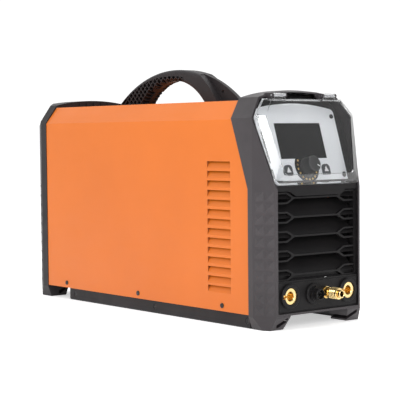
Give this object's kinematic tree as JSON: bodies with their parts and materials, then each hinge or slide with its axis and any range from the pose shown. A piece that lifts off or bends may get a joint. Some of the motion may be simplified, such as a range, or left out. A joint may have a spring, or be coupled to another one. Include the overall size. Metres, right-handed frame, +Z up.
{
  "type": "tig welding machine",
  "caption": "Portable inverter TIG welding power source: long painted case with carrying handle, moulded end bezels, hinged clear lid over a display panel, front output sockets and gas outlet.",
  "frame": {"origin": "middle of the footprint, on the floor", "axes": "+Z up, -Y out of the front panel, +X to the right seen from the front"},
  "size_m": [0.2028, 0.676, 0.383],
  "materials": {
    "black_plastic": "moulded, fine grain",
    "orange_paint": "satin powder coat",
    "black_paint": "satin powder coat",
    "silver_panel": "satin",
    "clear_plastic": "clear polycarbonate, bevels frosted",
    "display_glass": "dark display window",
    "steel": "bright zinc",
    "black_steel": "black oxide",
    "brass": "machined",
    "copper": null,
    "board": "glass-fibre circuit board",
    "knob_plastic": "satin black",
    "aluminium": "extruded",
    "ferrite": "sintered",
    "hose_rubber": "smooth",
    "can_sleeve": "shrink sleeve",
    "button_plastic": "satin",
    "chip_plastic": "epoxy"
  },
  "bodies": {
    "machine": {"front_bezel": "black_plastic", "rear_bezel": "black_plastic", "base_tray": "black_paint", "rail_left": "black_plastic", "rail_right": "black_plastic", "cover_shell": "orange_paint", "cover_screws": "black_steel", "rail_screws": "black_steel", "handle": "black_plastic", "handle_bolts": "steel", "front_grille": "black_plastic", "connector_panel": "black_plastic", "socket_collar_left": "black_plastic", "socket_brass_left": "brass", "socket_collar_right": "black_plastic", "socket_brass_right": "brass", "control_socket_shell": "black_plastic", "control_socket_insert": "chip_plastic", "control_pins": "brass", "gas_outlet_body": "brass", "panel_carrier": "black_plastic", "control_panel_plate": "silver_panel", "panel_screws": "steel", "lcd_window": "display_glass", "lcd_module": "chip_plastic", "dial_ring": "black_plastic", "encoder_body": "steel", "control_board": "board", "board_standoffs": "steel", "lid_hinge_pins": "steel", "rear_panel": "black_paint", "rear_screws": "steel", "fan_frame": "chip_plastic", "fan_guard": "steel", "power_switch_body": "black_plastic", "cable_gland": "black_plastic", "gas_inlet": "brass", "power_board": "board", "power_standoffs": "steel", "heatsink_input": "aluminium", "heatsink_output": "aluminium", "power_modules": "chip_plastic", "bus_capacitors": "can_sleeve", "transformer_core": "ferrite", "transformer_winding": "copper", "output_choke": "copper", "output_bars": "copper", "gas_valve_body": "brass", "gas_valve_coil": "chip_plastic", "gas_hoses": "hose_rubber"},
    "lid": {"clear_lid": "clear_plastic"},
    "encoder": {"encoder_rotor": "chip_plastic"},
    "knob": {"knob_shaft": "steel", "control_knob": "knob_plastic"},
    "left_button": {"button_left": "button_plastic"},
    "right_button": {"button_right": "button_plastic"},
    "rocker": {"power_rocker": "knob_plastic"},
    "fan": {"fan_rotor": "chip_plastic"},
    "valve_plunger": {"gas_valve_plunger": "steel"},
    "coupler_sleeve": {"gas_sleeve": "brass"}
  },
  "joints": [
    {"name": "lid_hinge", "type": "hinge", "parent": "machine", "child": "lid", "pos_m": [0, -0.27639, 0.33331], "axis": [-1, 0, 0], "range_deg": [0, 105]},
    {"name": "knob_turn", "type": "hinge", "parent": "machine", "child": "encoder", "pos_m": [0, -0.27076, 0.2267], "axis": [0, -0.9538, 0.3004], "continuous": true},
    {"name": "knob_press", "type": "slide", "parent": "encoder", "child": "knob", "axis": [0, 0.9538, -0.3004], "range_m": [0, 0.0007], "stiffness_N_per_m": 1500, "springref_m": -0.001},
    {"name": "button_left_press", "type": "slide", "parent": "machine", "child": "left_button", "axis": [0, 0.9538, -0.3004], "range_m": [0, 0.0008], "stiffness_N_per_m": 600, "springref_m": -0.001},
    {"name": "button_right_press", "type": "slide", "parent": "machine", "child": "right_button", "axis": [0, 0.9538, -0.3004], "range_m": [0, 0.0008], "stiffness_N_per_m": 600, "springref_m": -0.001},
    {"name": "rocker_tilt", "type": "hinge", "parent": "machine", "child": "rocker", "pos_m": [-0.05, 0.281, 0.292], "axis": [1, 0, 0], "range_deg": [0, 16]},
    {"name": "fan_spin", "type": "hinge", "parent": "machine", "child": "fan", "pos_m": [0, 0.271, 0.205], "axis": [0, 1, 0], "continuous": true},
    {"name": "valve_lift", "type": "slide", "parent": "machine", "child": "valve_plunger", "axis": [0, 0, 1], "range_m": [0, 0.0025], "stiffness_N_per_m": 200, "springref_m": -0.002},
    {"name": "sleeve_slide", "type": "slide", "parent": "machine", "child": "coupler_sleeve", "axis": [0, 1, 0], "range_m": [0, 0.003], "stiffness_N_per_m": 400, "springref_m": -0.002}
  ]
}
